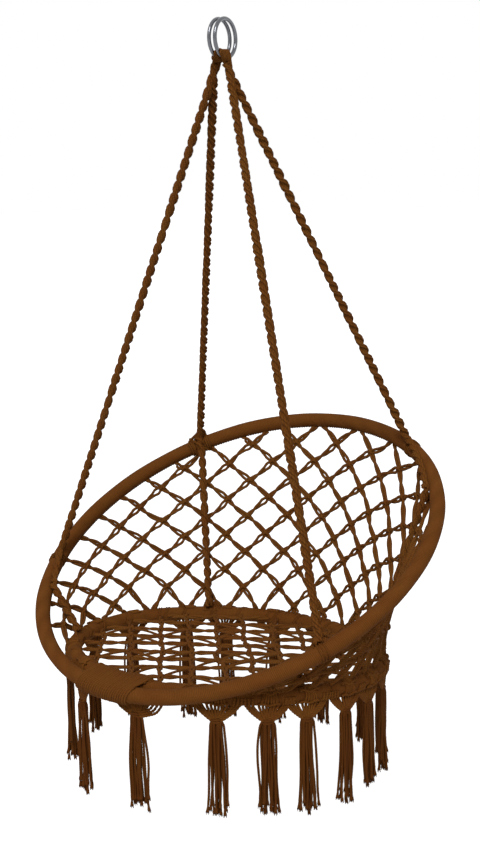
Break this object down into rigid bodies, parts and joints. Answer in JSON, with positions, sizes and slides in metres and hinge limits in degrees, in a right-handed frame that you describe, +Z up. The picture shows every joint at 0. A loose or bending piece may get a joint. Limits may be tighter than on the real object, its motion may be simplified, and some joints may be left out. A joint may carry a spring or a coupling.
{
  "type": "hammock chair",
  "caption": "Hanging hammock chair: two cord-wrapped hoops joined by knotted nets, hung by ropes from steel rings, with a tassel fringe.",
  "frame": {"origin": "inside top of the two hanging rings, where a hook or a bar bears", "axes": "+Z up; the chair faces -Y; +X is to the right as one looks at its front"},
  "size_m": [0.7992, 0.7219, 1.38],
  "materials": {
    "ring_steel": "polished plated steel",
    "hoop_tube": "plain painted tube, hidden under the cord",
    "wrap_cord": "matt brown cotton cord, wound close",
    "rope_cord": "matt brown twisted cotton cord",
    "net_cord": "matt brown knotted cotton cord",
    "tassel_cord": "matt dark brown loose cotton cord"
  },
  "bodies": {
    "held_ring": {"hanging_ring_left": "ring_steel"},
    "turning_ring": {"hanging_ring_right": "ring_steel"},
    "chair": {"suspension_rope_front": "rope_cord", "suspension_rope_back": "rope_cord", "upper_hoop_tube": "hoop_tube", "upper_hoop_wrap": "wrap_cord", "rope_knot_front_left": "rope_cord", "rope_knot_front_right": "rope_cord", "rope_knot_back_left": "rope_cord", "rope_knot_back_right": "rope_cord", "front_lashing": "wrap_cord", "lower_rope_front_left": "rope_cord", "lower_rope_front_right": "rope_cord", "lower_rope_back_left": "rope_cord", "lower_rope_back_right": "rope_cord", "back_net": "net_cord"},
    "seat": {"seat_hoop_tube": "hoop_tube", "seat_hoop_wrap": "wrap_cord", "seat_net": "net_cord", "fringe_cord": "tassel_cord", "tassel_01": "tassel_cord", "tassel_02": "tassel_cord", "tassel_03": "tassel_cord", "tassel_04": "tassel_cord", "tassel_05": "tassel_cord", "tassel_06": "tassel_cord", "tassel_07": "tassel_cord", "tassel_08": "tassel_cord", "tassel_09": "tassel_cord", "tassel_10": "tassel_cord", "tassel_11": "tassel_cord", "tassel_12": "tassel_cord", "tassel_13": "tassel_cord", "tassel_14": "tassel_cord", "tassel_15": "tassel_cord", "tassel_16": "tassel_cord", "tassel_17": "tassel_cord"}
  },
  "joints": [
    {"name": "swing_fore_aft", "type": "hinge", "parent": "held_ring", "child": "turning_ring", "pos_m": [0, 0, -0.03], "axis": [0.9877, 0.1564, 0], "range_deg": [-20, 20]},
    {"name": "swing_sideways", "type": "hinge", "parent": "turning_ring", "child": "chair", "pos_m": [0, 0, -0.0635], "axis": [0.1564, -0.9877, 0], "range_deg": [-6, 6]},
    {"name": "seat_fold", "type": "hinge", "parent": "chair", "child": "seat", "pos_m": [0, -0.31197, -1.11371], "axis": [1, 0, 0], "range_deg": [0, 33], "deforming": ["back_net", "lower_rope_front_left", "lower_rope_front_right", "lower_rope_back_left", "lower_rope_back_right"]}
  ]
}
